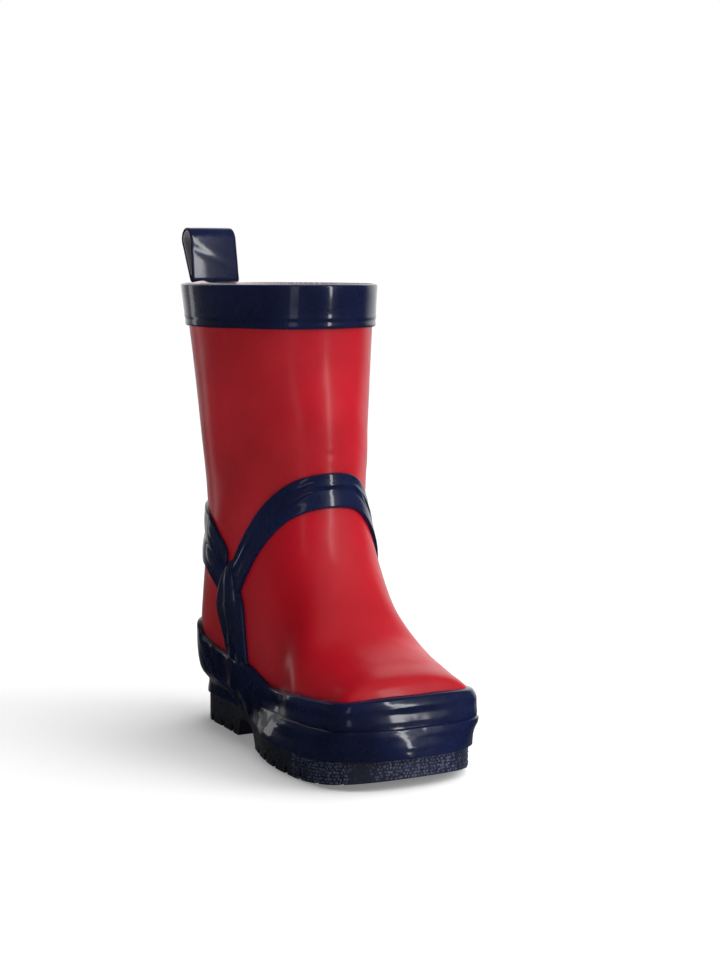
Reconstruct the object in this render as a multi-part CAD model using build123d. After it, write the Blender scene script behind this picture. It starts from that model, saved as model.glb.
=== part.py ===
from build123d import *
import math
import os

import numpy as np

# Child's hand-laid rubber rain boot, left foot, in millimetres.
# Working frame: the heel back is near s = 0 and s grows towards the toe, so Y = -s.
# X is across the boot, Z is up from the floor. The finished nodes are moved so that the
# origin is the centre of the whole boot's footprint on the floor.

# ---- driving dimensions ---------------------------------------------------------------
RIM_HEIGHT = 200.0        # floor to the cut edge of the shaft
TOE_TIP = 163.8           # s of the foremost point of the upper
TOE_CENTRE = -1.2         # sideways shift of the toe
TOE_SKEW = 0.05           # how much the toe leans towards the big toe

UPPER_WALL = 2.2          # red rubber sheet
STIFFENER_WALL = 1.0      # heel counter and toe puff, let into the inside of the sheet
LINING_IN = 3.4           # depth of the lining's inner face
BAND_OUT = 1.5            # how far the navy top band stands proud
STRAP_OUT = 1.6           # how far the straps stand proud
STAY_OUT = 0.7            # how far the back stay stands proud
FOXING_OUT = 2.3          # how far the foxing stands proud
BUMPER_OUT = 3.0          # how far the toe bumper stands proud

RING_POINTS = 36          # points round each section of the upper
CAP_SPREAD = 0.6          # the flat toe cap grows by this share of an offset
REACH = 60.0              # half the width of every cutting body

BAND_BOTTOM = 181.5       # lower edge of the navy top band
BAND_TOP = RIM_HEIGHT - 0.5
SOLE_LENGTH = 167.0
HEEL_BREAST = 51.0        # s of the front of the heel block
ARCH_FRONT = 77.0         # s where the forepart tread begins
ARCH_HEIGHT = 8.5         # clear height under the arch
TOE_SPRING = 4.5          # how far the sole lifts at the toe
LUG_PITCH = 11.6          # spacing of the tread grooves along the sole
GROOVE_WIDTH = 2.6
GROOVE_DEPTH = 3.0
MARGIN = 14.0             # width of the upper's lasted margin, turned in under the board
FOOTBED_GAP = 0.35        # play of the loose footbed all round

LOOP_X = -8.7             # the pull loop sits a little to the inner side of the back seam
LOOP_S = -3.4             # s of the loop's bending line, on the inside of the rear wall
LOOP_LEAN = 13.0          # degrees: at rest the loop leans back in line with the rear wall
LOOP_WIDTH = 24.0
LOOP_RUBBER = 1.3
LOOP_COTTON = 0.6
LOOP_AXIS_Z = RIM_HEIGHT + 1.8
LOOP_BASE_R = 1.5         # rounded root of the loop, centred on its bending line
LOOP_HEAD_R = 5.3
LOOP_RISE = 18.9          # bending line to the centre of the loop's head
TAIL_BOTTOM = 178.0
TAIL_IN = 5.6             # depth of the tail's free face below the outer skin
LOOP_EYE_ROOT_R = 0.3     # rounding at the foot of the loop's eye
STAY_WIDTH = 13.0
OUTER_DROP_START = 12.0    # X from which the instep strap runs down faster on the outer side
OUTER_DROP = 0.8          # how much further it drops for each millimetre beyond that
FOXING_SQUARING = 2.2     # the foxing fills out the rounded lower corner of the upper


class Section:
    """A slice of the boot, in the plane through X and the line from back to front."""

    def __init__(self, place, front, back, half_width, widest, top_power, sole_power, shift=0.0):
        self.values = [place, *front, *back, half_width, widest, top_power, sole_power, shift]


SECTIONS = [
    # place   front (s, z)             back or bottom (s, z)   half  widest top  sole
    Section(0.00, (TOE_TIP, 33.0), (TOE_TIP, 16.0), 20.6, 0.50, 2.6, 3.0, TOE_CENTRE),
    Section(0.05, (TOE_TIP - 5, 42.9), (TOE_TIP - 6, 13.0), 31.0, 0.50, 2.6, 4.0, TOE_CENTRE),
    Section(0.12, (TOE_TIP - 18, 46.7), (TOE_TIP - 17, 12.0), 32.2, 0.48, 2.5, 4.5, 0.8 * TOE_CENTRE),
    Section(0.22, (TOE_TIP - 38, 54.0), (TOE_TIP - 37, 11.5), 34.7, 0.42, 2.3, 4.5, 0.5 * TOE_CENTRE),
    Section(0.33, (TOE_TIP - 57, 76.8), (TOE_TIP - 63, 11.5), 30.1, 0.36, 2.2, 4.5, 0.2 * TOE_CENTRE),
    Section(0.42, (97.5, 97.0), (72.0, 12.0), 31.9, 0.34, 2.1, 4.0),
    Section(0.49, (95.2, 110.0), (45.0, 12.5), 32.6, 0.35, 2.1, 3.4),
    Section(0.54, (94.8, 117.0), (23.0, 12.5), 32.8, 0.37, 2.1, 3.0),
    Section(0.59, (94.6, 123.0), (10.5, 18.0), 32.8, 0.40, 2.1, 2.7),
    Section(0.64, (94.6, 128.0), (7.6, 32.0), 32.7, 0.43, 2.1, 2.6),
    Section(0.69, (94.6, 133.0), (8.2, 55.0), 32.5, 0.46, 2.1, 2.4),
    Section(0.76, (94.6, 142.0), (9.2, 85.0), 32.4, 0.50, 2.1, 2.2),
    Section(0.86, (92.8, 162.0), (4.9, 135.0), 35.3, 0.50, 2.1, 2.1),
    Section(1.00, (95.8, RIM_HEIGHT), (-9.2, RIM_HEIGHT), 38.1, 0.50, 2.1, 2.1),
]
LOFT_PLACES = [0.0, 0.018, 0.05, 0.085, 0.12, 0.17, 0.22, 0.275, 0.33, 0.375, 0.42, 0.455, 0.49,
               0.515, 0.54, 0.565, 0.59, 0.615, 0.64, 0.665, 0.69, 0.725, 0.76, 0.81, 0.86, 0.93, 1.0]


# ---- the skin of the upper ------------------------------------------------------------
def smooth(knots, values, place):
    """Monotone cubic through the knots: it never overshoots between two of them."""
    gap = np.diff(knots)
    rise = np.diff(values) / gap
    slope = np.zeros(len(knots))
    for i in range(1, len(knots) - 1):
        if rise[i - 1] * rise[i] > 0:
            before = 2 * gap[i] + gap[i - 1]
            after = gap[i] + 2 * gap[i - 1]
            slope[i] = (before + after) / (before / rise[i - 1] + after / rise[i])
    slope[0] = rise[0]
    slope[-1] = rise[-1]
    i = int(np.clip(np.searchsorted(knots, place) - 1, 0, len(gap) - 1))
    t = (place - knots[i]) / gap[i]
    start = (1 + 2 * t) * (1 - t) ** 2 * values[i] + t * (1 - t) ** 2 * gap[i] * slope[i]
    end = t * t * (3 - 2 * t) * values[i + 1] + t * t * (t - 1) * gap[i] * slope[i + 1]
    return start + end


TABLE = np.array([section.values for section in SECTIONS])


def ring(place, squaring=1.0):
    """Points round the slice at a place from toe (0) to rim (1), evenly spaced, as (X, Y, Z)."""
    front_s, front_z, back_s, back_z, half, widest, top, sole, shift = [
        smooth(TABLE[:, 0], TABLE[:, column], place) for column in range(1, 10)]
    front = np.array([front_s, front_z])
    back = np.array([back_s, back_z])
    length = np.linalg.norm(front - back)
    angle = np.linspace(0, 2 * math.pi, 1441)
    cosine = np.cos(angle)
    sine = np.sin(angle)
    power = np.where(cosine >= 0, top, sole * squaring)
    reach = np.where(cosine >= 0, (1 - widest) * length, widest * length)
    along = reach * np.sign(cosine) * np.abs(cosine) ** (2 / power)
    across = half * np.sign(sine) * np.abs(sine) ** (2 / power) + shift
    centre = back + widest * (front - back)
    path = centre[None, :] + along[:, None] * (front - back)[None, :] / length
    lean = np.clip((path[:, 0] - 95) / (TOE_TIP - 95), 0, 1.1) ** 1.5
    dense = np.column_stack([across, -path[:, 0] - TOE_SKEW * across * lean, path[:, 1]])
    run = np.concatenate([[0], np.cumsum(np.linalg.norm(np.diff(dense, axis=0), axis=1))])
    even = np.linspace(0, run[-1], RING_POINTS, endpoint=False)
    return np.column_stack([np.interp(even, run, dense[:, axis]) for axis in range(3)])


def offset_ring(place, offset, squaring):
    """The ring moved square to the skin, outwards for a positive offset."""
    here = ring(place, squaring)
    if place == 0.0:
        outward = here - here.mean(axis=0)
        outward /= np.linalg.norm(outward, axis=1)[:, None]
        moved = here + CAP_SPREAD * offset * outward
        moved[:, 1] = -(TOE_TIP + offset) - TOE_SKEW * moved[:, 0]
        return moved
    around = np.roll(here, -1, axis=0) - np.roll(here, 1, axis=0)
    step = 0.01
    onward = ring(min(place + step, 1.0), squaring) - ring(max(place - step, 0.0), squaring)
    normal = np.cross(around, onward)
    if place == 1.0:
        normal[:, 2] = 0.0
    normal /= np.linalg.norm(normal, axis=1)[:, None]
    if (normal * (here - here.mean(axis=0))).sum() < 0:
        normal = -normal
    return here + offset * normal


def half_edge(points, first, last):
    """One smooth edge along part of a ring."""
    return Edge.make_spline([Vector(*points[i % len(points)]) for i in range(first, last + 1)])


def ring_wires(offset, squaring):
    """One closed wire per place, split at the front and at the back."""
    wires = []
    for place in LOFT_PLACES:
        points = offset_ring(place, offset, squaring)
        middle = len(points) // 2
        wires.append(Wire([half_edge(points, 0, middle), half_edge(points, middle, len(points))]))
    return wires


def body_inside(offset, squaring=1.0):
    """The closed body inside the skin at an offset."""
    return Solid.make_loft(ring_wires(offset, squaring), ruled=True)


def layer(outer, inner, squaring=1.0, inner_squaring=1.0):
    """The sheet between two offsets of the skin, closed at the toe and open at the rim."""
    outside = body_inside(outer, squaring)
    inside = body_inside(inner, inner_squaring)
    rims = [body.faces().sort_by(Axis.Z)[-1] for body in (outside, inside)]
    walls = [face for body, rim in zip((outside, inside), rims)
             for face in body.faces() if face.center().Z < rim.center().Z - 0.01]
    annulus = Face(rims[0].outer_wire(), [rims[1].outer_wire()])
    return Solid(Shell([*walls, annulus]))


# ---- cutting bodies, drawn in the side view (s, z) or in plan --------------------------
SIDE = Plane(origin=(0, 0, 0), x_dir=(0, -1, 0), z_dir=(-1, 0, 0))


def side_prism(outline):
    """A side-view outline in (s, z), run out to both sides of the boot."""
    return extrude(SIDE * outline, amount=REACH, both=True)


def dropped_prism(outline):
    """A side-view outline run out to both sides, lower and lower towards the outer side."""
    start = Pos(OUTER_DROP_START, 0, 0) * (SIDE * outline)
    return extrude(start, amount=REACH + OUTER_DROP_START) + extrude(
        start, amount=REACH, dir=(1, 0, -OUTER_DROP))


def slab(low, high):
    """Everything between two heights."""
    return Pos(0, -TOE_TIP / 2, (low + high) / 2) * Box(2 * REACH, 3 * TOE_TIP, high - low)


def between(lower, upper):
    """The side-view area between two open curves that both run from heel to toe."""
    return make_face([lower, Line(lower @ 1, upper @ 1), upper, Line(upper @ 0, lower @ 0)])


def sole_plan():
    """The sole's outline in plan, with the big toe on the -X side."""
    inner = [(-13, 5.0), (-20.5, 13), (-23, 28), (-24.5, 48), (-27, 68), (-32, 86), (-36, 104),
             (-37, 124), (-35.6, 142), (-30, 156.5), (-15, 165.4)]
    outer = [(15.5, 165.2), (29.2, 156), (34.6, 141), (36, 122), (34, 102), (29.8, 82), (26.6, 62),
             (25, 44), (23.4, 28), (20.5, 13), (13, 5.0)]
    points = [(0, 2.8), *inner, (0, SOLE_LENGTH), *outer]
    return make_face(Spline([(x, -s) for x, s in points], periodic=True))


def window_plan():
    """The opening inside the lasted margin, under the insole board."""
    points = [(0, 20), (-10, 28), (-12, 52), (-15, 78), (-21, 104), (-20, 126), (-11, 139), (0, 143),
              (11, 139), (19, 126), (20, 104), (15, 78), (12, 52), (10, 28)]
    return make_face(Spline([(x, -s) for x, s in points], periodic=True))


def plan_prism(outline, low, high):
    return extrude(Pos(0, 0, low) * outline, amount=high - low)


SOLE_TOP = Spline([(-12, 12.8), (20, 13.6), (48, 14.6), (72, 13.6), (98, 12.2), (135, 12.0), (178, 14.6)])
FOXING_TOP = Spline([(-12, 49.5), (18, 48.5), (36, 43.0), (58, 39.6), (78, 37.6), (98, 31.4),
                     (128, 34.0), (178, 38.0)])


def sole_underside():
    """The area below the tread: heel seat, arch gap, forepart and toe spring."""
    heel = Line((-20, 0), (HEEL_BREAST, 0))
    breast = Line(heel @ 1, (HEEL_BREAST + 3.0, ARCH_HEIGHT - 1.0))
    arch = Spline([breast @ 1, (HEEL_BREAST + 8, ARCH_HEIGHT), (ARCH_FRONT - 8, ARCH_HEIGHT - 1.0),
                   (ARCH_FRONT, 0.0)])
    forepart = Line(arch @ 1, (SOLE_LENGTH - 42, 0))
    spring = TangentArc([forepart @ 1, (SOLE_LENGTH, TOE_SPRING)], tangent=(1, 0))
    run_out = Line(spring @ 1, (SOLE_LENGTH + 12, TOE_SPRING + 3))
    end = Polyline([run_out @ 1, (SOLE_LENGTH + 12, -20), (-20, -20), (-20, 0)])
    return make_face([*heel.edges(), *breast.edges(), *arch.edges(), *forepart.edges(),
                      *spring.edges(), *run_out.edges(), *end.edges()])


BUMPER_TOP = Spline([(84, 21.0), (100, 22.5), (128, 24.0), (178, 25.5)])
BOARD_TOP = Spline([(-12, 15.7), (45, 15.6), (72, 15.1), (126, 14.5), (147, 15.0), (160, 16.4), (178, 18.4)])
FOOTBED_TOP = Spline([(-12, 20.8), (45, 20.4), (90, 19.2), (130, 18.8), (178, 21.6)])
FLOOR_LINE = Line((-20, -5), (178, -5))
UNDER_BOARD = between(FLOOR_LINE, BOARD_TOP)
BACK_STRIP = Pos(0, 10, 100) * Box(STAY_WIDTH, 100, 220)

INSTEP_STRAP_AREA = make_face([
    Spline([(58, 75), (67.8, 91.7), (80.2, 108.9), (92, 119.2), (106, 124.5)]),
    Line((106, 124.5), (106, 111)),
    Spline([(106, 111), (93.9, 104), (79, 87), (67, 65)]),
    Line((67, 65), (58, 75))])
HEEL_STRAP_AREA = make_face([
    Spline([(63, 77), (53.6, 88.4), (38, 98.5), (20, 102.5), (-8, 105)]),
    Line((-8, 105), (-8, 82)),
    Spline([(-8, 82), (18, 79), (34, 75), (45, 69.5), (52, 64)]),
    Line((52, 64), (63, 77))])
SIDE_STRAP_AREA = make_face([
    Spline([(60.4, 80.8), (51.5, 70), (48.8, 60), (54, 50), (58.5, 40), (60, 30)]),
    Line((60, 30), (78, 30)),
    Spline([(78, 30), (75.6, 46), (72.4, 61), (66.5, 70.5), (60.4, 80.8)])])


# ---- sole ------------------------------------------------------------------------------
def make_outsole():
    """Moulded outsole: heel block, arch and lugged forepart in one piece."""
    block = plan_prism(sole_plan(), -1, 30)
    block &= side_prism(between(Line((-20, -5), (178, -5)), SOLE_TOP))
    block -= side_prism(sole_underside())
    heel_grooves = [HEEL_BREAST - 7.5 - LUG_PITCH * i for i in range(4)]
    fore_grooves = [ARCH_FRONT + 9.0 + LUG_PITCH * i for i in range(7)]
    for place in heel_grooves + fore_grooves:
        lift = TOE_SPRING * max(0.0, (place - SOLE_LENGTH + 42) / 42) ** 2
        block -= Pos(0, -place, lift) * Box(2 * REACH, GROOVE_WIDTH, 2 * GROOVE_DEPTH)
    return block - body_inside(0.0)


def make_board():
    """Insole board, lying inside the turned-in margin of the upper."""
    return body_inside(-UPPER_WALL) & side_prism(UNDER_BOARD)


def make_filler():
    """Filler sheet that levels the window inside the lasted margin."""
    return layer(0.0, -UPPER_WALL) & plan_prism(window_plan(), 5, 25)


def make_footbed():
    """Loose insole, free by a small gap all round."""
    return body_inside(-LINING_IN - FOOTBED_GAP) & side_prism(between(FLOOR_LINE, FOOTBED_TOP))


# ---- upper -----------------------------------------------------------------------------
COUNTER_AREA = make_face([
    Spline([(-12, 62), (20, 60), (44, 44), (56, 24)]),
    Polyline([(56, 24), (54, 5), (-12, 5), (-12, 62)])]) - UNDER_BOARD
PUFF_AREA = make_face([
    Spline([(112, 24), (122, 42), (140, 58), (178, 60)]),
    Polyline([(178, 60), (178, 5), (110, 5), (112, 24)])]) - UNDER_BOARD


def make_upper():
    """Red rubber sheet: shaft and foot in one skin, open at the rim and under the board."""
    sheet = layer(0.0, -UPPER_WALL) - plan_prism(window_plan(), 5, 25)
    recess = layer(STIFFENER_WALL - UPPER_WALL, -2 * UPPER_WALL)
    for area in (COUNTER_AREA, PUFF_AREA):
        sheet -= recess & side_prism(area)
    return sheet


def make_stiffener(area):
    """A reinforcement let into the inside of the rubber sheet."""
    return layer(STIFFENER_WALL - UPPER_WALL, -UPPER_WALL) & side_prism(area)


def make_lining():
    """Cotton lining bonded to the inside of the upper, above the insole board."""
    return layer(-UPPER_WALL, -LINING_IN) - side_prism(UNDER_BOARD)


def make_top_band():
    return layer(BAND_OUT, 0.0) & slab(BAND_BOTTOM, BAND_TOP)


def make_back_stay():
    """Narrow strip over the seam at the back, from the foxing to the top band."""
    area = between(FOXING_TOP, Line((-12, BAND_BOTTOM), (178, BAND_BOTTOM)))
    return layer(STAY_OUT, 0.0) & side_prism(area) & BACK_STRIP


# ---- foxing ----------------------------------------------------------------------------
def make_foxing():
    """Band that seals the upper to the sole."""
    return layer(FOXING_OUT, 0.0, FOXING_SQUARING) & side_prism(between(SOLE_TOP, FOXING_TOP))


def make_toe_bumper():
    """Second, lower strip wrapped round the toe over the foxing."""
    sheet = layer(BUMPER_OUT, FOXING_OUT, FOXING_SQUARING, FOXING_SQUARING)
    foot = Spline([(84, 13.0), (98, 12.4), (135, 12.2), (178, 14.8)])
    return sheet & side_prism(between(foot, BUMPER_TOP))


# ---- straps ----------------------------------------------------------------------------
def make_straps():
    """The instep strap, the heel strap, and the side straps where the two meet."""
    sheet = (layer(STRAP_OUT, 0.0) & slab(20, 140)) - side_prism(between(FLOOR_LINE, FOXING_TOP))
    side = sheet & side_prism(SIDE_STRAP_AREA)
    instep = (sheet & dropped_prism(INSTEP_STRAP_AREA)) - side_prism(SIDE_STRAP_AREA)
    heel = (sheet & side_prism(HEEL_STRAP_AREA)) - side_prism(SIDE_STRAP_AREA)
    heel -= dropped_prism(INSTEP_STRAP_AREA)
    heel -= layer(STAY_OUT, -1.0) & BACK_STRIP
    return instep, heel, side


# ---- pull loop -------------------------------------------------------------------------
def teardrop(root_height, root_radius, head_radius):
    """Outline round two circles on the loop's centre line, the head LOOP_RISE up."""
    span = LOOP_RISE - root_height
    slant = math.asin((head_radius - root_radius) / span)
    cosine = math.cos(slant)
    sine = math.sin(slant)
    low = (root_radius * cosine, root_height - root_radius * sine)
    high = (head_radius * cosine, LOOP_RISE - head_radius * sine)
    return make_face([
        Line(low, high),
        ThreePointArc(high, (0, LOOP_RISE + head_radius), (-high[0], high[1])),
        Line((-high[0], high[1]), (-low[0], low[1])),
        ThreePointArc((-low[0], low[1]), (0, root_height - root_radius), low)])


def loop_solid(outline):
    """The outline leaned back, put on the bending line and run across the loop's width."""
    placed = Pos(LOOP_S, LOOP_AXIS_Z) * Rot(0, 0, LOOP_LEAN) * outline
    return Pos(LOOP_X, 0, 0) * extrude(SIDE * placed, amount=LOOP_WIDTH / 2, both=True)


def make_pull_loop():
    """Rubber strap, its cotton backing and the sewn-in tails."""
    eye = LOOP_RUBBER + LOOP_COTTON
    root = (LOOP_EYE_ROOT_R - LOOP_BASE_R + eye) * LOOP_RISE / (LOOP_HEAD_R - LOOP_BASE_R)
    outside = teardrop(0.0, LOOP_BASE_R, LOOP_HEAD_R)
    seam = teardrop(0.0, LOOP_BASE_R - LOOP_RUBBER, LOOP_HEAD_R - LOOP_RUBBER)
    hollow = teardrop(root, LOOP_EYE_ROOT_R, LOOP_HEAD_R - eye)
    rubber = loop_solid(outside) - loop_solid(seam)
    cotton = loop_solid(seam) - loop_solid(hollow)
    tails = layer(-LINING_IN, -TAIL_IN) & slab(TAIL_BOTTOM, RIM_HEIGHT + 1)
    tails &= Pos(LOOP_X, 10, 0) * Box(LOOP_WIDTH, 60, 500)
    return rubber, cotton, tails


# ---- build -----------------------------------------------------------------------------
nodes = {}
nodes["upper"] = make_upper()
nodes["back_stay"] = make_back_stay()
nodes["top_band"] = make_top_band()
nodes["lining"] = make_lining()
nodes["heel_counter"] = make_stiffener(COUNTER_AREA)
nodes["toe_puff"] = make_stiffener(PUFF_AREA)
nodes["insole_board"] = make_board()
nodes["midsole_filler"] = make_filler()
nodes["footbed"] = make_footbed()
nodes["outsole"] = make_outsole()
nodes["foxing_band"] = make_foxing()
nodes["toe_bumper"] = make_toe_bumper()
nodes["instep_strap"], nodes["heel_strap"], side_straps = make_straps()
inner_side = Pos(-REACH, 0, 0) * Box(2 * REACH, 900, 900)
nodes["inner_side_strap"] = side_straps & inner_side
nodes["outer_side_strap"] = side_straps - inner_side
nodes["pull_loop"], nodes["pull_loop_backing"], nodes["pull_loop_tails"] = make_pull_loop()

solids = {name: shape.solids().sort_by(SortBy.VOLUME)[-1] for name, shape in nodes.items()}
boxes = [solid.bounding_box() for solid in solids.values()]
low = [min(tuple(box.min)[axis] for box in boxes) for axis in range(3)]
high = [max(tuple(box.max)[axis] for box in boxes) for axis in range(3)]
shift = Pos(-(low[0] + high[0]) / 2, -(low[1] + high[1]) / 2, -low[2])
print("moved by", [round(value, 3) for value in tuple(shift.position)])
os.makedirs("parts", exist_ok=True)
for name, solid in solids.items():
    export_step(shift * solid, f"parts/{name}.step")
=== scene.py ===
import math

import bmesh
import bpy
import numpy as np
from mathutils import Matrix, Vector


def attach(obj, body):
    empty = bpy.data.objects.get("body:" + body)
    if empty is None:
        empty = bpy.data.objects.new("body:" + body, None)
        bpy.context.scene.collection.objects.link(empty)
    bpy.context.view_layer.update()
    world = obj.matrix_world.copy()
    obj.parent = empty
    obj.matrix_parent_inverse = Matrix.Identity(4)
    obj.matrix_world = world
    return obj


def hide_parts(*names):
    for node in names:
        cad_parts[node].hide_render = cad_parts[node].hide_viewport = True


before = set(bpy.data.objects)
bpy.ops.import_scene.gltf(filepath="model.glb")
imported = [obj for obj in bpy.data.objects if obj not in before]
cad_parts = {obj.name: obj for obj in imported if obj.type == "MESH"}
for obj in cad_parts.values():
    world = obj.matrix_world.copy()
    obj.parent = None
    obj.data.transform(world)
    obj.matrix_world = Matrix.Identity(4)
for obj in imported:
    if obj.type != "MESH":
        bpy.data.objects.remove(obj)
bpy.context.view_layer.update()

# Child's hand-laid rubber rain boot. Shapes are worked out in millimetres, with s growing
# from the heel back to the toe (Y = -s), and put in the row frame when a mesh is made.
HEEL_Y = 77.455
MM = 0.001
BOOT, LOOP, FOOTBED = "boot", "pull_loop", "footbed"

# Sheets, and how far they stand proud of the skin.
UPPER_WALL = 2.2
LINING_OUT, LINING_IN = 2.25, 3.4
BAND_PROUD = 1.5
STAY_PROUD = 0.7
FOXING_PROUD = 2.3
BUMPER_PROUD = 1.0
BAND_LOW, BAND_HIGH = 181.5, 200.35
STAY_WIDTH = 13.0
LOOP_WIDTH = 24.0
LOOP_RISE = 18.9
TAIL_BOTTOM, TAIL_HEIGHT = 178.0, 22.0
STRAP_TUCK = 0.4             # how far a strap's back face lies inside the skin

# ---- the skin of the upper -------------------------------------------------------------
TOE_TIP = 163.8
TOE_CENTRE = -1.2
TOE_SKEW = 0.05
RIM = 200.0
T = TOE_TIP
SECTIONS = np.array([
    # place  front s, z       back s, z      half  widest top  sole shift
    [0.00, T, 33.0, T, 16.0, 20.6, .50, 2.6, 3.0, TOE_CENTRE],
    [0.05, T - 5, 42.9, T - 6, 13.0, 31.0, .50, 2.6, 4.0, TOE_CENTRE],
    [0.12, T - 18, 46.7, T - 17, 12.0, 32.2, .48, 2.5, 4.5, .8 * TOE_CENTRE],
    [0.22, T - 38, 54.0, T - 37, 11.5, 34.7, .42, 2.3, 4.5, .5 * TOE_CENTRE],
    [0.33, T - 57, 76.8, T - 63, 11.5, 30.1, .36, 2.2, 4.5, .2 * TOE_CENTRE],
    [0.42, 97.5, 97.0, 72.0, 12.0, 31.9, .34, 2.1, 4.0, 0],
    [0.49, 95.2, 110.0, 45.0, 12.5, 32.6, .35, 2.1, 3.4, 0],
    [0.54, 94.8, 117.0, 23.0, 12.5, 32.8, .37, 2.1, 3.0, 0],
    [0.59, 94.6, 123.0, 10.5, 18.0, 32.8, .40, 2.1, 2.7, 0],
    [0.64, 94.6, 128.0, 7.6, 32.0, 32.7, .43, 2.1, 2.6, 0],
    [0.69, 94.6, 133.0, 8.2, 55.0, 32.5, .46, 2.1, 2.4, 0],
    [0.76, 94.6, 142.0, 9.2, 85.0, 32.4, .50, 2.1, 2.2, 0],
    [0.86, 92.8, 162.0, 4.9, 135.0, 35.3, .50, 2.1, 2.1, 0],
    [1.00, 95.8, RIM, -9.2, RIM, 38.1, .50, 2.1, 2.1, 0],
])


def smooth(knots, values, place):
    """Monotone cubic through the knots, for an array of places."""
    gap = np.diff(knots)
    rise = np.diff(values) / gap
    slope = np.zeros(len(knots))
    for i in range(1, len(knots) - 1):
        if rise[i - 1] * rise[i] > 0:
            before = 2 * gap[i] + gap[i - 1]
            after = gap[i] + 2 * gap[i - 1]
            slope[i] = (before + after) / (before / rise[i - 1] + after / rise[i])
    slope[0], slope[-1] = rise[0], rise[-1]
    i = np.clip(np.searchsorted(knots, place) - 1, 0, len(gap) - 1)
    t = (place - knots[i]) / gap[i]
    start = (1 + 2 * t) * (1 - t) ** 2 * values[i] + t * (1 - t) ** 2 * gap[i] * slope[i]
    return start + t * t * (3 - 2 * t) * values[i + 1] + t * t * (t - 1) * gap[i] * slope[i + 1]


def section(place):
    return [smooth(SECTIONS[:, 0], SECTIONS[:, k], place) for k in range(1, 10)]


def lean(path_s):
    return np.clip((path_s - 95) / (TOE_TIP - 95), 0, 1.1) ** 1.5


ROWS, COLUMNS = 401, 360


def ring(place):
    fs, fz, bs, bz, half, widest, top, sole, shift = [float(v) for v in section(np.array([place]))
                                                      for v in np.atleast_1d(v)]
    front, back = np.array([fs, fz]), np.array([bs, bz])
    length = np.linalg.norm(front - back)
    angle = np.linspace(0, 2 * math.pi, 2881)
    cosine, sine = np.cos(angle), np.sin(angle)
    power = np.where(cosine >= 0, top, sole)
    reach = np.where(cosine >= 0, (1 - widest) * length, widest * length)
    along = reach * np.sign(cosine) * np.abs(cosine) ** (2 / power)
    across = half * np.sign(sine) * np.abs(sine) ** (2 / power) + shift
    centre = back + widest * (front - back)
    path = centre[None, :] + along[:, None] * (front - back)[None, :] / length
    dense = np.column_stack([across, -path[:, 0] - TOE_SKEW * across * lean(path[:, 0]), path[:, 1]])
    run = np.concatenate([[0], np.cumsum(np.linalg.norm(np.diff(dense, axis=0), axis=1))])
    even = np.linspace(0, run[-1], COLUMNS, endpoint=False)
    return np.column_stack([np.interp(even, run, dense[:, axis]) for axis in range(3)])


def blur_rows(table, spread):
    """Soften along the first axis, keeping both ends where they are."""
    reach = int(3 * spread)
    kernel = np.exp(-0.5 * (np.arange(-reach, reach + 1) / spread) ** 2)
    kernel /= kernel.sum()
    low = 2 * table[:1] - table[reach:0:-1]
    high = 2 * table[-1:] - table[-2:-reach - 2:-1]
    padded = np.concatenate([low, table, high])
    return sum(k * padded[i:i + len(table)] for i, k in enumerate(kernel))


def blur_round(table, spread, axis=1):
    """Soften round a closed direction."""
    reach = int(3 * spread) + 1
    out = 0
    total = 0
    for k in range(-reach, reach + 1):
        w = math.exp(-0.5 * (k / spread) ** 2)
        out = out + w * np.roll(table, k, axis=axis)
        total += w
    return out / total


SKIN = blur_round(blur_rows(np.array([ring(p) for p in np.linspace(0, 1, ROWS)]), 3.0), 3.0)


def normals(table):
    around = np.roll(table, -1, axis=1) - np.roll(table, 1, axis=1)
    onward = np.gradient(table, axis=0)
    n = np.cross(around, onward)
    n /= np.linalg.norm(n, axis=2)[:, :, None]
    outward = table - table.mean(axis=1)[:, None, :]
    if (n * outward).sum() < 0:
        n = -n
    return n


NORMAL = blur_round(normals(SKIN), 1.5)
NORMAL /= np.linalg.norm(NORMAL, axis=2)[:, :, None]

# ---- the same skin as a field, so that trims can be cast onto it ------------------------
STEP = 0.5
S0, S1, Z0, Z1 = -30.0, 190.0, 0.0, 215.0


def build_field():
    s = np.arange(S0, S1 + STEP, STEP)
    z = np.arange(Z0, Z1 + STEP, STEP)
    grid_s, grid_z = [g.ravel() for g in np.meshgrid(s, z, indexing="ij")]
    places = np.linspace(0, 1, ROWS)
    fs, fz, bs, bz = section(places)[:4]
    place = np.empty(len(grid_s))
    for a in range(0, len(grid_s), 20000):
        ps, pz = grid_s[a:a + 20000], grid_z[a:a + 20000]
        g = ((fs - bs)[:, None] * (pz[None] - bz[:, None])
             - (fz - bz)[:, None] * (ps[None] - bs[:, None]))
        change = (g[:-1] > 0) & (g[1:] <= 0)
        k = np.argmax(change, axis=0)
        some = change.any(axis=0)
        column = np.arange(len(ps))
        part = g[k, column] / (g[k, column] - g[k + 1, column] + 1e-12)
        at = places[k] + part * (places[1] - places[0])
        place[a:a + 20000] = np.where(some, at, np.where(g[0] <= 0, 0.0, 1.0))
    fs, fz, bs, bz, half, widest, top, sole, shift = section(place)
    length = np.hypot(fs - bs, fz - bz)
    along = ((grid_s - bs) * (fs - bs) + (grid_z - bz) * (fz - bz)) / length - widest * length
    power = np.where(along >= 0, top, sole)
    reach = np.where(along >= 0, (1 - widest) * length, widest * length)
    level = np.abs(along / reach) ** power
    level = np.where(grid_s > TOE_TIP, level + 0.2 * (grid_s - TOE_TIP) + 1.0, level)
    level = np.minimum(level, 6.0)
    return np.stack([level, power, half, shift], axis=1).reshape(len(s), len(z), 4)


FIELD = build_field()


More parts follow.
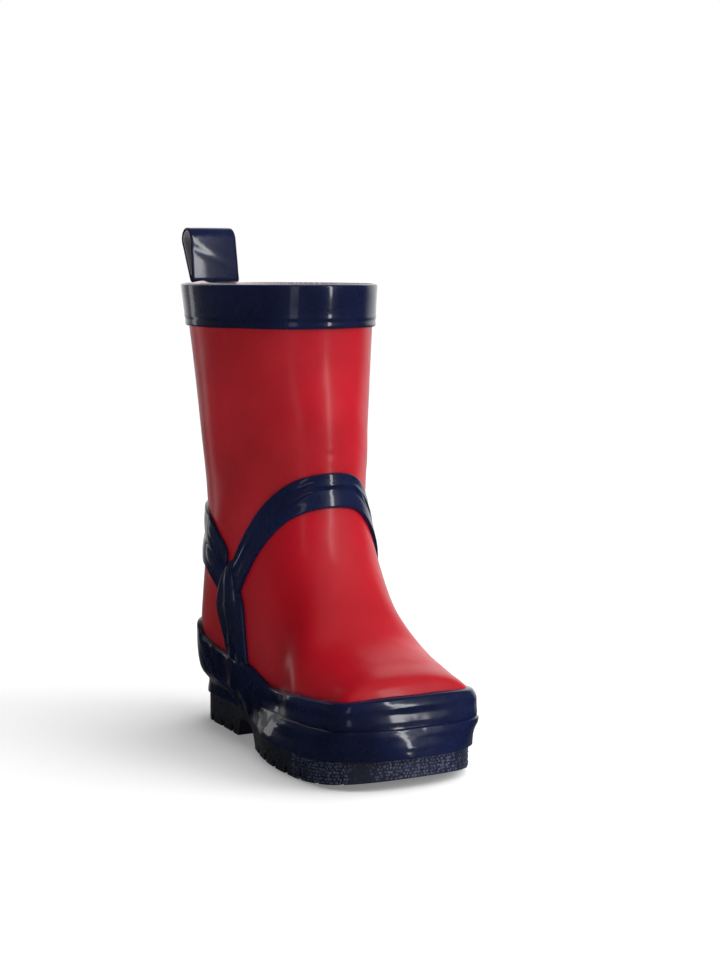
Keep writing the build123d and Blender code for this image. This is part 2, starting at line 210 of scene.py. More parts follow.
def field(x, s, z):
    """Below zero inside the boot's skin."""
    path = s - TOE_SKEW * x * lean(s)
    a = np.clip((path - S0) / STEP, 0, FIELD.shape[0] - 1.001)
    b = np.clip((z - Z0) / STEP, 0, FIELD.shape[1] - 1.001)
    i, j = a.astype(int), b.astype(int)
    u, v = (a - i)[..., None], (b - j)[..., None]
    f = ((1 - u) * (1 - v) * FIELD[i, j] + u * (1 - v) * FIELD[i + 1, j]
         + (1 - u) * v * FIELD[i, j + 1] + u * v * FIELD[i + 1, j + 1])
    level, power, half, shift = np.moveaxis(f, -1, 0)
    return np.abs((x - shift) / half) ** power + level - 1.0


def cast(x0, s0, dx, ds, z, near, far):
    """Distance along a level ray from inside (near) to outside (far) at which it meets the skin."""
    shape = np.broadcast(x0, s0, dx, ds, z, near, far).shape
    low = np.broadcast_to(np.asarray(near, float), shape).copy()
    high = np.broadcast_to(np.asarray(far, float), shape).copy()
    for _ in range(24):
        middle = (low + high) / 2
        inside = field(x0 + middle * dx, s0 + middle * ds, z + 0 * middle) < 0
        low = np.where(inside, middle, low)
        high = np.where(inside, high, middle)
    return (low + high) / 2


def field_normal(x, s, z, h=0.9):
    g = np.stack([field(x + h, s, z) - field(x - h, s, z),
                  -(field(x, s + h, z) - field(x, s - h, z)),
                  field(x, s, z + h) - field(x, s, z - h)], axis=-1)
    return g / (np.linalg.norm(g, axis=-1)[..., None] + 1e-12)


def on_chart(angle, z, axis_s):
    """Skin point at an angle round the leg: 0 is the front, a quarter turn is the +X side."""
    dx, ds = np.sin(angle), np.cos(angle)
    r = cast(0.0, axis_s, dx, ds, z, 0.0, 80.0)
    return r * dx, axis_s + r * ds


def noise(seed, shape, cells, closed=True):
    """Smooth seeded noise on a grid, about -1 to 1."""
    rng = np.random.default_rng(seed)
    base = rng.normal(size=cells)
    rows = np.linspace(0, cells[0] - 1, shape[0])
    if closed:
        base = np.concatenate([base, base[:, :1]], axis=1)
        columns = np.linspace(0, cells[1], shape[1], endpoint=False)
    else:
        columns = np.linspace(0, cells[1] - 1, shape[1])
    i = np.clip(rows.astype(int), 0, base.shape[0] - 2)
    j = np.clip(columns.astype(int), 0, base.shape[1] - 2)
    u = rows - i
    v = columns - j
    u, v = (u * u * (3 - 2 * u))[:, None], (v * v * (3 - 2 * v))[None]
    a, b = base[i][:, j], base[i][:, j + 1]
    c, d = base[i + 1][:, j], base[i + 1][:, j + 1]
    return (a * (1 - u) * (1 - v) + b * (1 - u) * v + c * u * (1 - v) + d * u * v) / 2


def points_at(x, s, z):
    return np.stack([x, -s, z], axis=-1)


# ---- meshes ----------------------------------------------------------------------------
def grid_faces(rows, columns, closed_rows, closed_columns, first=0):
    r = np.arange(rows if closed_rows else rows - 1)
    c = np.arange(columns if closed_columns else columns - 1)
    r, c = [g.ravel() for g in np.meshgrid(r, c, indexing="ij")]
    r2, c2 = (r + 1) % rows, (c + 1) % columns
    return (np.stack([r * columns + c, r * columns + c2, r2 * columns + c2, r2 * columns + c],
                     axis=1) + first).tolist()


def make_piece(name, vertices, faces, material, body, nodes=()):
    """A mesh from points in millimetres (X, -s, Z), put in the row frame."""
    v = np.asarray(vertices, float).reshape(-1, 3) + np.array([0, HEEL_Y, 0])
    mesh = bpy.data.meshes.new(name)
    mesh.from_pydata((v * MM).tolist(), [], faces)
    mesh.validate()
    obj = bpy.data.objects.new(name, mesh)
    bpy.context.scene.collection.objects.link(obj)
    bm = bmesh.new()
    bm.from_mesh(mesh)
    bmesh.ops.recalc_face_normals(bm, faces=bm.faces)
    bm.to_mesh(mesh)
    bm.free()
    for polygon in mesh.polygons:
        polygon.use_smooth = True
    mesh.materials.append(material)
    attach(obj, body)
    if nodes:
        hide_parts(*nodes)
    return obj


def slab_piece(name, top, bottom, material, body, nodes=(), closed=False):
    """A sheet with a face on each side, walled all round, or closed along its columns."""
    rows, columns = top.shape[:2]
    vertices = np.concatenate([top.reshape(-1, 3), bottom.reshape(-1, 3)])
    half = rows * columns
    faces = grid_faces(rows, columns, False, closed)
    faces += grid_faces(rows, columns, False, closed, half)
    span = columns if closed else columns - 1
    for row in (0, rows - 1):
        for c in range(span):
            a, b = row * columns + c, row * columns + (c + 1) % columns
            faces.append([a, b, b + half, a + half])
    if not closed:
        for column in (0, columns - 1):
            for r in range(rows - 1):
                a, b = r * columns + column, (r + 1) * columns + column
                faces.append([a, b, b + half, a + half])
    return make_piece(name, vertices, faces, material, body, nodes)


def edged(count, width, radius):
    """Places across a strip, from 0 to 1, crowded inside each rounded edge."""
    ease = radius * (1 - np.cos(np.linspace(0, math.pi / 2, 7)))
    inside = np.linspace(radius, width - radius, count)[1:-1]
    return np.concatenate([ease, inside, width - ease[::-1]]) / width


def rounded(distance, radius):
    """Share of the full height at a distance from a rounded edge."""
    d = np.clip(distance / radius, 0, 1)
    return np.sqrt(np.clip(1 - (1 - d) ** 2, 0, 1))


# ---- materials ---------------------------------------------------------------------------
def srgb(r, g, b):
    return tuple(((c / 255) / 12.92 if c / 255 <= 0.04045 else ((c / 255 + 0.055) / 1.055) ** 2.4)
                 for c in (r, g, b)) + (1.0,)


class Nodes:
    def __init__(self, name):
        self.material = bpy.data.materials.new(name)
        self.material.use_nodes = True
        self.tree = self.material.node_tree
        self.tree.nodes.clear()
        self.out = self.add("ShaderNodeOutputMaterial")
        self.shader = self.add("ShaderNodeBsdfPrincipled")
        self.link(self.shader.outputs[0], self.out.inputs["Surface"])
        self.where = self.add("ShaderNodeTexCoord").outputs["Object"]

    def add(self, kind, **settings):
        node = self.tree.nodes.new(kind)
        for key, value in settings.items():
            setattr(node, key, value)
        return node

    def link(self, a, b):
        self.tree.links.new(a, b)

    def noise(self, scale, detail=3.0, roughness=0.5, distortion=0.0, vector=None):
        node = self.add("ShaderNodeTexNoise")
        node.inputs["Scale"].default_value = scale
        node.inputs["Detail"].default_value = detail
        node.inputs["Roughness"].default_value = roughness
        node.inputs["Distortion"].default_value = distortion
        self.link(vector or self.where, node.inputs["Vector"])
        return node.outputs["Fac"]

    def ramp(self, factor, low, high, a, b):
        """Map low..high of a factor onto the numbers a..b."""
        node = self.add("ShaderNodeMapRange")
        for key, value in (("From Min", low), ("From Max", high), ("To Min", a), ("To Max", b)):
            node.inputs[key].default_value = value
        self.link(factor, node.inputs["Value"])
        return node.outputs["Result"]

    def mix(self, factor, a, b):
        node = self.add("ShaderNodeMix", data_type="RGBA")
        self.link(factor, node.inputs[0])
        for socket, value in ((node.inputs[6], a), (node.inputs[7], b)):
            if isinstance(value, tuple):
                socket.default_value = value
            else:
                self.link(value, socket)
        return node.outputs[2]

    def bump(self, height, strength, distance, before=None):
        node = self.add("ShaderNodeBump")
        node.inputs["Strength"].default_value = strength
        node.inputs["Distance"].default_value = distance
        self.link(height, node.inputs["Height"])
        if before is not None:
            self.link(before, node.inputs["Normal"])
        return node.outputs["Normal"]

    def math(self, operation, a, b):
        node = self.add("ShaderNodeMath", operation=operation)
        for socket, value in zip(node.inputs, (a, b)):
            if isinstance(value, (int, float)):
                socket.default_value = value
            else:
                self.link(value, socket)
        return node.outputs[0]

    def set(self, **values):
        for key, value in values.items():
            socket = self.shader.inputs[key.replace("_", " ")]
            if isinstance(value, (int, float, tuple)):
                socket.default_value = value
            else:
                self.link(value, socket)


def glossy_rubber(name, deep, light, rough, wave, coat, coat_rough):
    """Poured-looking, hand-dipped rubber: a clear coat over slightly cloudy colour."""
    n = Nodes(name)
    cloud = n.ramp(n.noise(22, 4, 0.55), 0.35, 0.65, 0.0, 1.0)
    speck = n.ramp(n.noise(900, 2, 0.5), 0.3, 0.8, 0.0, 1.0)
    colour = n.mix(cloud, deep, light)
    darker = tuple(c * 0.7 for c in deep[:3]) + (1.0,)
    colour = n.mix(n.math("MULTIPLY", speck, 0.10), colour, darker)
    smear = n.noise(70, 5, 0.6, 0.6)
    n.set(Base_Color=colour, Roughness=n.ramp(smear, 0.3, 0.7, rough - 0.05, rough + 0.07))
    n.set(IOR=1.36, Specular_IOR_Level=0.3)
    n.set(Coat_Weight=coat, Coat_Roughness=coat_rough, Coat_IOR=1.42)
    broad = n.bump(n.noise(55, 2, 0.4), 0.5, wave)
    fine = n.bump(n.noise(300, 1, 0.4), 0.22, 0.00005, broad)
    grain = n.bump(n.noise(2600, 2, 0.5), 0.2, 0.00002, fine)
    n.link(grain, n.shader.inputs["Normal"])
    n.link(fine, n.shader.inputs["Coat Normal"])
    return n.material


RED = glossy_rubber("red_gloss_rubber", srgb(164, 14, 27), srgb(184, 20, 37),
                    rough=0.36, wave=0.00016, coat=0.3, coat_rough=0.2)
NAVY = glossy_rubber("navy_gloss_rubber", srgb(14, 20, 46), srgb(21, 29, 64),
                     rough=0.26, wave=0.0003, coat=0.7, coat_rough=0.08)


def sole_rubber(name, dark, light, rough):
    """Moulded rubber: pebbled, a little dusty, with its edges eased."""
    n = Nodes(name)
    cloud = n.ramp(n.noise(40, 4, 0.6), 0.35, 0.65, 0.0, 1.0)
    colour = n.mix(cloud, dark, light)
    dust = n.ramp(n.noise(260, 5, 0.65), 0.55, 0.75, 0.0, 0.3)
    colour = n.mix(dust, colour, srgb(70, 75, 96))
    worn = n.ramp(n.noise(180, 4, 0.6), 0.3, 0.7, rough, rough + 0.18)
    n.set(Base_Color=colour, Roughness=worn, IOR=1.5)
    cells = n.add("ShaderNodeTexVoronoi", feature="F1")
    cells.inputs["Scale"].default_value = 620
    n.link(n.where, cells.inputs["Vector"])
    bevel = n.add("ShaderNodeBevel")
    bevel.inputs["Radius"].default_value = 0.0007
    pebble = n.bump(cells.outputs["Distance"], 0.5, 0.0003, bevel.outputs[0])
    grain = n.bump(n.noise(1800, 3, 0.6), 0.3, 0.00006, pebble)
    n.link(grain, n.shader.inputs["Normal"])
    return n.material


def knit(name, dark, light, scale, sheen):
    """Fine jersey: rows of small loops, a soft nap and a little pilling."""
    n = Nodes(name)
    waves = []
    for direction in ("X", "Z"):
        wave = n.add("ShaderNodeTexWave", wave_type="BANDS", bands_direction=direction)
        wave.inputs["Scale"].default_value = scale
        wave.inputs["Distortion"].default_value = 1.4
        wave.inputs["Detail"].default_value = 1.5
        wave.inputs["Detail Scale"].default_value = 3.0
        n.link(n.where, wave.inputs["Vector"])
        waves.append(wave.outputs["Fac"])
    loops = n.math("MULTIPLY", waves[0], waves[1])
    cloud = n.noise(120, 4, 0.6)
    shade = n.math("ADD", n.math("MULTIPLY", loops, 0.6), n.math("MULTIPLY", cloud, 0.5))
    colour = n.mix(n.ramp(shade, 0.1, 0.8, 0.0, 1.0), dark, light)
    n.set(Base_Color=colour, Roughness=n.ramp(cloud, 0.3, 0.7, 0.78, 0.92),
          Sheen_Weight=sheen, Sheen_Roughness=0.5)
    weave = n.bump(loops, 0.6, 0.00035)
    nap = n.bump(n.noise(900, 4, 0.65), 0.4, 0.00025, weave)
    n.link(nap, n.shader.inputs["Normal"])
    return n.material


SOLE = sole_rubber("navy_moulded_rubber", srgb(18, 22, 42), srgb(30, 35, 58), 0.36)
# The pebbles get a paler copy of the sole rubber: painted highlight standing in for the light caught on
# their domes.
PEBBLE_PAINTED_HIGHLIGHT = sole_rubber("navy_pebbles_painted_highlight", srgb(52, 58, 84), srgb(84, 90, 116), 0.22)
LINING = knit("cotton_jersey", srgb(196, 176, 186), srgb(236, 226, 230), 260, 0.3)
GREY = knit("grey_cotton_tape", srgb(120, 118, 124), srgb(176, 174, 180), 300, 0.3)
FELT = knit("footbed_textile", srgb(150, 146, 150), srgb(206, 202, 206), 210, 0.35)
BOARD = knit("lasting_board", srgb(120, 92, 64), srgb(168, 136, 98), 90, 0.1)
FILLER = sole_rubber("filler_rubber", srgb(58, 56, 56), srgb(84, 82, 82), 0.6)
CANVAS = knit("rubbered_canvas", srgb(112, 104, 92), srgb(160, 150, 134), 150, 0.15)

# The CAD nodes whose shape is kept.
CARRIED_OVER = {
    "outsole": SOLE,
    "insole_board": BOARD,
    "midsole_filler": FILLER,
    "heel_counter": CANVAS,
    "toe_puff": CANVAS,
}
for node, material in CARRIED_OVER.items():
    for material_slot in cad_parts[node].material_slots:
        material_slot.material = material

# ---- upper -------------------------------------------------------------------------------
OUT_ROWS = np.unique(np.concatenate([np.arange(0, 40, 1), np.arange(40, ROWS, 2), [ROWS - 1]]))
ripple = 0.10 * noise(3, (ROWS, COLUMNS), (16, 12)) + 0.05 * noise(4, (ROWS, COLUMNS), (40, 30))
outer = (SKIN + ripple[:, :, None] * NORMAL)[OUT_ROWS]
LEVEL = NORMAL[-1] * np.array([1, 1, 0])
LEVEL /= np.linalg.norm(LEVEL, axis=1)[:, None]


def rim_rows(table_row, low, high, drop=0.0, radius=None):
    """Rows that carry a sheet's cut edge over from one offset to another."""
    radius = radius or (low - high) / 2
    middle = (low + high) / 2
    rows = []
    for a in np.linspace(0, math.pi, 9):
        across = middle + (low - high) / 2 * math.cos(a)
        up = radius * (math.sin(a) - 1)
        rows.append(table_row + across * LEVEL + np.array([0, 0, up - drop]))
    return rows


wall_rows = np.concatenate([outer[:-1], np.array(rim_rows(SKIN[-1], 0.0, -UPPER_WALL, radius=0.8)),
                            (SKIN - UPPER_WALL * NORMAL)[OUT_ROWS[-2:5:-4]]])


def shell_piece(name, rows, material, body, nodes):
    """Rows of closed rings, with the first and last ring filled by a fan."""
    count, columns = rows.shape[:2]
    middles = [rows[0].mean(axis=0)[None], rows[-1].mean(axis=0)[None]]
    vertices = np.concatenate([rows.reshape(-1, 3)] + middles)
    faces = grid_faces(count, columns, False, True)
    first, last = count * columns, count * columns + 1
    for c in range(columns):
        d = (c + 1) % columns
        faces.append([c, d, first])
        faces.append([(count - 1) * columns + c, (count - 1) * columns + d, last])
    return make_piece(name, vertices, faces, material, body, nodes)


shell_piece("upper_skin", wall_rows, RED, BOOT, ["upper"])

# ---- lining ------------------------------------------------------------------------------
lining_ripple = 0.18 * noise(8, (ROWS, COLUMNS), (14, 16))
inner = SKIN - (LINING_IN + lining_ripple)[:, :, None] * NORMAL
lining_rows = np.concatenate([(SKIN - LINING_OUT * NORMAL)[OUT_ROWS[8:-1:3]],
                              np.array(rim_rows(SKIN[-1], -LINING_OUT, -LINING_IN, drop=-0.15)),
                              inner[OUT_ROWS[-2:10:-2]]])
rear = np.exp(-((lining_rows[:, :, 0] + 12) / 15) ** 2)
rear = rear * np.clip((lining_rows[:, :, 1] + 25) / 25, 0, 1)
near_rim = np.clip((lining_rows[:, :, 2] - 190) / 9, 0, 1)
lining_rows[:, :, 2] += 1.1 * rear * near_rim
shell_piece("cotton_lining", lining_rows, LINING, BOOT, ["lining"])

# ---- top band ----------------------------------------------------------------------------
SHAFT_AXIS = 43.0
TURNS = 288
angle = np.linspace(0, 2 * math.pi, TURNS, endpoint=False)
across = edged(26, BAND_HIGH - BAND_LOW, 0.9)
zz = BAND_LOW + (BAND_HIGH - BAND_LOW) * across[:, None] + 0 * angle[None]
shake = 0.22 * noise(11, (1, TURNS), (2, 22))[0]
zz = zz + shake[None] * (1 - across[:, None]) ** 2
x, s = on_chart(angle[None] + 0 * zz, np.minimum(zz, RIM), SHAFT_AXIS)
n = field_normal(x, s, np.minimum(zz, RIM - 1))
n[..., 2] *= 0.3
n /= np.linalg.norm(n, axis=-1)[..., None]
edge = np.minimum(across, 1 - across)[:, None] * (BAND_HIGH - BAND_LOW)
height = BAND_PROUD * rounded(edge, 0.9)
height = height + 0.10 * noise(12, zz.shape, (5, 18)) * rounded(edge, 3.0)
seam_z = BAND_LOW + 3.1
height = height - 0.22 * np.exp(-((zz - seam_z) / 0.7) ** 2)
height = height + 0.12 * np.exp(-((zz - seam_z - 1.3) / 0.9) ** 2)
base = points_at(x, s, zz)
band_top = base + height[..., None] * n
band_bottom = base - 0.35 * n
slab_piece("top_band_navy", band_top, band_bottom, NAVY, BOOT, ["top_band"], closed=True)

# ---- straps ------------------------------------------------------------------------------
LEG_AXIS = 54.0


def curve(points):
    p = np.array(points, float)
    order = np.argsort(p[:, 0])
    p = p[order]
    return lambda s: smooth(p[:, 0], p[:, 1], np.clip(s, p[0, 0], p[-1, 0]))


DROP_START, DROP_EASE = 12.0, 2.5


def edge_height(angle, line, low, high, drop):
    """Height at which the skin crosses a side-view line, which may drop to the outer side."""
    a, b = np.full(angle.shape, low), np.full(angle.shape, high)
    for _ in range(22):
        m = (a + b) / 2
        x, s = on_chart(angle, m, LEG_AXIS)
        past = DROP_EASE * np.log1p(np.exp((x - DROP_START) / DROP_EASE))
        below = m < line(s) - drop * past
        a, b = np.where(below, m, a), np.where(below, b, m)
    return (a + b) / 2


def strap(name, angles, low_line, high_line, span, height_of, seed, nodes, rim=0.75, drop=0.0):
    z_low = edge_height(angles, low_line, *span, drop)
    z_high = edge_height(angles, high_line, *span, drop)
    wobble = noise(seed, (2, len(angles)), (2, 14), closed=False)
    z_low = z_low + 0.35 * wobble[0]
    z_high = z_high + 0.35 * wobble[1]
    share = edged(30, float(np.mean(z_high - z_low)), rim)[:, None]
    z = z_low[None] + share * (z_high - z_low)[None]
    a = angles[None] + 0 * z
    x, s = on_chart(a, z, LEG_AXIS)
    n = field_normal(x, s, z)
    width = (z_high - z_low)[None]
    edge = np.minimum(share, 1 - share) * width
    height = height_of(share, a, s, z) * rounded(edge, rim)
    base = points_at(x, s, z)
    face = base + (height[..., None] - 0.02) * n
    return slab_piece(name, face, base - STRAP_TUCK * n, NAVY, BOOT, nodes)


INSTEP_TOP = curve([(58, 75), (67.8, 91.7), (80.2, 108.9), (92, 119.2), (106, 124.5)])
INSTEP_LOW = curve([(106, 111), (93.9, 104), (79, 87), (67, 65)])
HEEL_TOP = curve([(63, 77), (53.6, 88.4), (38, 98.5), (20, 102.5), (-8, 105)])
HEEL_LOW = curve([(-8, 82), (18, 79), (34, 75), (45, 69.5), (52, 64)])


def instep_height(share, a, s, z):
    """One ridge along the strap, pinched into short folds at both sides."""
    ridge = (0.42 * np.exp(-((share - 0.66) / 0.07) ** 2)
             - 0.30 * np.exp(-((share - 0.52) / 0.09) ** 2))
    pinch = 0.0
    folds = [(-0.34, 0.62, 0.9, 0.5), (-0.31, 0.42, 0.8, 0.42), (0.42, 0.5, -0.8, 0.4)]
    for centre, low, slope, size in folds:
        line = share - low - slope * (a - centre)
        near = np.exp(-((a - centre) / 0.13) ** 2)
        crest = np.exp(-(line / 0.07) ** 2) - 0.6 * np.exp(-((line - 0.12) / 0.08) ** 2)
        pinch = pinch + size * near * crest
    swell = 0.16 * noise(21, share.shape[:1] + a.shape[1:], (5, 18), closed=False)
    return 1.5 + ridge + pinch + swell


def heel_height(share, a, s, z):
    """Two flat lobes with a groove between them."""
    lobes = 0.55 * np.cos((share - 0.5) * 4 * math.pi) * np.clip((s - 5) / 30, 0, 1)
    groove = -0.35 * np.exp(-((share - 0.48) / 0.06) ** 2)
    swell = 0.18 * noise(22, share.shape[:1] + a.shape[1:], (5, 22), closed=False)
    return 1.55 - lobes * 0.4 + groove + swell


side = math.radians(86)
strap("instep_strap_navy", np.linspace(-side, side, 260), INSTEP_LOW, INSTEP_TOP, (42.0, 135.0),
      instep_height, 31, ["instep_strap"], drop=0.8)
back_from = math.radians(84)
strap("heel_strap_navy", np.linspace(back_from, 2 * math.pi - back_from, 260), HEEL_LOW, HEEL_TOP,
      (55.0, 130.0), heel_height, 32, ["heel_strap"])

# ---- side straps -------------------------------------------------------------------------
SIDE_LEFT = curve([(30, 60.0), (40, 58.5), (50, 54.0), (60, 48.8), (70, 51.5), (80.8, 59.6)])
SIDE_RIGHT = curve([(30, 78.0), (46, 75.6), (61, 72.4), (70.5, 66.5), (80.8, 61.2)])


def side_strap(name, sign, nodes, seed):
    z = np.linspace(33.0, 80.6, 120)[:, None]
    left, right = SIDE_LEFT(z), SIDE_RIGHT(z)
    share = edged(26, 20.0, 0.9)[None]
    s = left + share * (right - left)
    z = z + 0 * s
    r = cast(0.0, s, float(sign), 0.0, z, 0.0, 60.0)
    x = sign * r
    n = field_normal(x, s, z)
    width = right - left
    edge = np.minimum(share, 1 - share) * width
    fade = rounded(np.clip(80.8 - z, 0, 20), 5.0)
    fold = 0.0
    folds = [(0.30, 0.18, 0.75, 0.09), (0.62, -0.15, 0.6, 0.10), (0.85, 0.0, 0.3, 0.06)]
    for centre, drift, size, thick in folds:
        line = share - centre - drift * np.sin((z - 40) / 13.0)
        fold = fold + size * np.exp(-(line / thick) ** 2)
    swell = 0.22 * noise(seed, s.shape, (9, 5), closed=False)
    height = (1.85 + 0.8 * fold + swell) * rounded(edge, 1.2) * fade
    base = points_at(x, s, z)
    face = base + (height[..., None] - 0.02) * n
    return slab_piece(name, face, base - STRAP_TUCK * n, NAVY, BOOT, nodes)


side_strap("inner_side_strap_navy", -1, ["inner_side_strap"], 41)
side_strap("outer_side_strap_navy", 1, ["outer_side_strap"], 42)

# ---- back stay ---------------------------------------------------------------------------
share = edged(14, STAY_WIDTH, 0.6)[None]
x = STAY_WIDTH * share - STAY_WIDTH / 2
z = np.linspace(46.0, 182.5, 150)[:, None]
x, z = x + 0 * z, z + 0 * x
r = cast(x, 50.0, 0.0, -1.0, z, 0.0, 80.0)
s = 50.0 - r
n = field_normal(x, s, z)
edge = np.minimum(share, 1 - share) * STAY_WIDTH
height = STAY_PROUD * rounded(edge, 0.6) + 0.05 * noise(51, x.shape, (20, 3), closed=False)
base = points_at(x, s, z)
slab_piece("back_stay_red", base + height[..., None] * n, base - 0.3 * n, RED, BOOT,
           ["back_stay"])

# ---- foxing and toe bumper ---------------------------------------------------------------
PLAN = [
    # heel and inner side
    (0, 2.8), (-13, 5.0), (-20.5, 13), (-23, 28), (-24.5, 48), (-27, 68), (-32, 86), (-36, 104),
    # ball and toe
    (-37, 124), (-35.6, 142), (-30, 156.5), (-15, 165.4), (0, 167.0), (15.5, 165.2), (29.2, 156),
    # outer side
    (34.6, 141), (36, 122), (34, 102), (29.8, 82), (26.6, 62), (25, 44), (23.4, 28), (20.5, 13),
    (13, 5.0),
]
ROUND = 640


def closed_curve(points, count):
    """Evenly spaced points on a smooth closed curve through the given ones."""
    p = np.array(points, float)
    dense = []
    total = len(p)
    for i in range(total):
        a, b, c, d = p[i - 1], p[i], p[(i + 1) % total], p[(i + 2) % total]
        t = np.linspace(0, 1, 60, endpoint=False)[:, None]
        dense.append(0.5 * (2 * b + (c - a) * t + (2 * a - 5 * b + 4 * c - d) * t ** 2
                            + (3 * b - a - 3 * c + d) * t ** 3))
    dense = np.concatenate(dense + [p[:1]])
    run = np.concatenate([[0], np.cumsum(np.linalg.norm(np.diff(dense, axis=0), axis=1))])
    even = np.linspace(0, run[-1], count, endpoint=False)
    return np.column_stack([np.interp(even, run, dense[:, k]) for k in range(2)])


EDGE = blur_round(closed_curve(PLAN, ROUND), 4.0, axis=0)
ALONG = np.roll(EDGE, -1, axis=0) - np.roll(EDGE, 1, axis=0)
ALONG /= np.linalg.norm(ALONG, axis=1)[:, None]
OUTWARD = np.column_stack([-ALONG[:, 1], ALONG[:, 0]])
if (OUTWARD * (EDGE - EDGE.mean(axis=0))).sum() < 0:
    OUTWARD = -OUTWARD
OUTWARD = blur_round(OUTWARD, 6.0, axis=0)
OUTWARD /= np.linalg.norm(OUTWARD, axis=1)[:, None]
SOLE_TOP = curve([(-12, 12.8), (20, 13.6), (48, 14.6), (72, 13.6), (98, 12.2), (135, 12.0), (178, 14.6)])
FOXING_TOP = curve([(-12, 49.5), (18, 48.5), (36, 43), (58, 39.6), (78, 37.6), (98, 31.4), (128, 34),
                    (178, 38)])
BUMPER_TOP = curve([(84, 21), (100, 22.5), (128, 24), (178, 25.5)])

WALL_FOOT = 19.0             # below this the skin curls in under the foot
FOXING_FULL = 27.0           # height at which the foxing lies on the skin
FOXING_FOOT = 1.1            # how far its lower edge stands out from the sole's edge line
FRONT_START = 84.0           # s from which the toe's ridges and bumper begin

WALL_Z = np.arange(18.0, 52.0, 1.0)
WALL = cast(EDGE[None, :, 0], EDGE[None, :, 1], OUTWARD[None, :, 0], OUTWARD[None, :, 1],
            WALL_Z[:, None], -14.0, 20.0)
WALL = blur_rows(blur_round(WALL, 5.0), 1.0)


def wall_reach(index, z):
    """How far the skin is from the sole's edge line, at a column and a height."""
    k = np.clip((z - WALL_Z[0]) / 1.0, 0, len(WALL_Z) - 1.001)
    i = k.astype(int)
    return WALL[i, index] * (1 - (k - i)) + WALL[i + 1, index] * (k - i)


def strap_under(s, z):
    """The side strap showing through the foxing that is laid over it."""
    middle = 66.5 + 3.0 * np.sin((z - 14) / 11.0)
    body = np.exp(-((s - middle) / 9.5) ** 4)
    folds = (0.9 * np.exp(-((s - middle + 4.5 - 1.8 * np.sin(z / 4.0)) / 1.9) ** 2)
             + 0.7 * np.exp(-((s - middle - 4.0 + 1.5 * np.sin(z / 5.0 + 1.0)) / 1.7) ** 2))
    return (1.1 * body + folds * body) * np.clip((z - 11) / 6, 0.35, 1)


def heel_lines(s, z):
    """Two shallow drawn-down lines on the heel part of the foxing."""
    out = 0.0
    for s_top, s_low, size in ((30.0, 58.0, 0.55), (44.0, 60.0, 0.45)):
        centre = s_top + (s_low - s_top) * np.clip((46 - z) / 32, 0, 1) ** 1.4
        crest = size * np.exp(-((s - centre) / 1.5) ** 2)
        out = out + crest - 0.35 * size * np.exp(-((s - centre - 3) / 2.2) ** 2)
    return out * np.clip((z - 11) / 5, 0, 1)


def foxing_surface(index, z, top, extra):
    """Outer face of the foxing, at columns of the sole's edge line and heights z."""
    s_edge = EDGE[index, 1]
    skin = wall_reach(index, np.maximum(z, WALL_FOOT)) + FOXING_PROUD
    low_z = SOLE_TOP(s_edge) - 0.6
    rise = np.clip((z - low_z) / (FOXING_FULL - low_z), 0, 1)
    rise = rise * rise * (3 - 2 * rise)
    reach = FOXING_FOOT + rise * (skin - FOXING_FOOT)
    front = np.clip((s_edge - FRONT_START) / 30, 0, 1)
    ridges = (0.45 * np.exp(-((z - 18.5) / 2.4) ** 2)
              + 0.25 * np.exp(-((z - (top - 3.0)) / 1.6) ** 2)
              - 0.25 * np.exp(-((z - (top - 6.6)) / 2.2) ** 2))
    reach = reach + front * ridges
    s_here = s_edge + reach * OUTWARD[index, 1]
    reach = reach + strap_under(s_here, z) * np.clip((110 - s_here) / 20, 0, 1)
    return reach + heel_lines(s_here, z) + extra


def lay_round(name, index, low_of, top_of, proud, seed, nodes, closed, rim=0.9):
    """A band laid round the foot, closed or with two faded ends."""
    s_edge = EDGE[index, 1]
    bottom, top = low_of(s_edge), top_of(s_edge)
    top = top + 0.35 * noise(seed, (1, len(index)), (2, 26))[0]
    share = edged(44, float(np.mean(top - bottom)), rim)[:, None]
    z = bottom[None] + share * (top - bottom)[None]
    i = index[None] + np.zeros(z.shape, int)
    edge = (1 - share) * (top - bottom)[None]
    swell = 0.10 * noise(seed + 1, z.shape, (5, 40)) + 0.03 * noise(seed + 2, z.shape, (12, 80))
    reach = foxing_surface(i, z, top[None], swell) + proud
    behind = wall_reach(i, np.maximum(z, WALL_FOOT)) - STRAP_TUCK
    start = behind if closed else reach - FOXING_PROUD - proud
    reach = start + (reach - start) * rounded(edge, rim)
    if not closed:
        ends = np.minimum(np.arange(len(index)), np.arange(len(index))[::-1])[None] / 40.0
        reach = reach - (proud + STRAP_TUCK) * (1 - np.clip(ends, 0, 1)) ** 2
    face = points_at(EDGE[i, 0] + reach * OUTWARD[i, 0], EDGE[i, 1] + reach * OUTWARD[i, 1], z)
    inside = np.minimum(reach - 0.5, behind)
    back = points_at(EDGE[i, 0] + inside * OUTWARD[i, 0], EDGE[i, 1] + inside * OUTWARD[i, 1], z)
    return slab_piece(name, face, back, NAVY, BOOT, nodes, closed=closed)


lay_round("foxing_navy", np.arange(ROUND), lambda s: SOLE_TOP(s) - 0.6, FOXING_TOP, 0.0, 61,
          ["foxing_band"], True)
front_columns = np.where(EDGE[:, 1] > FRONT_START)[0]
lay_round("toe_bumper_navy", front_columns, lambda s: SOLE_TOP(s) - 0.9, BUMPER_TOP, BUMPER_PROUD, 71,
          ["toe_bumper"], False, rim=0.7)

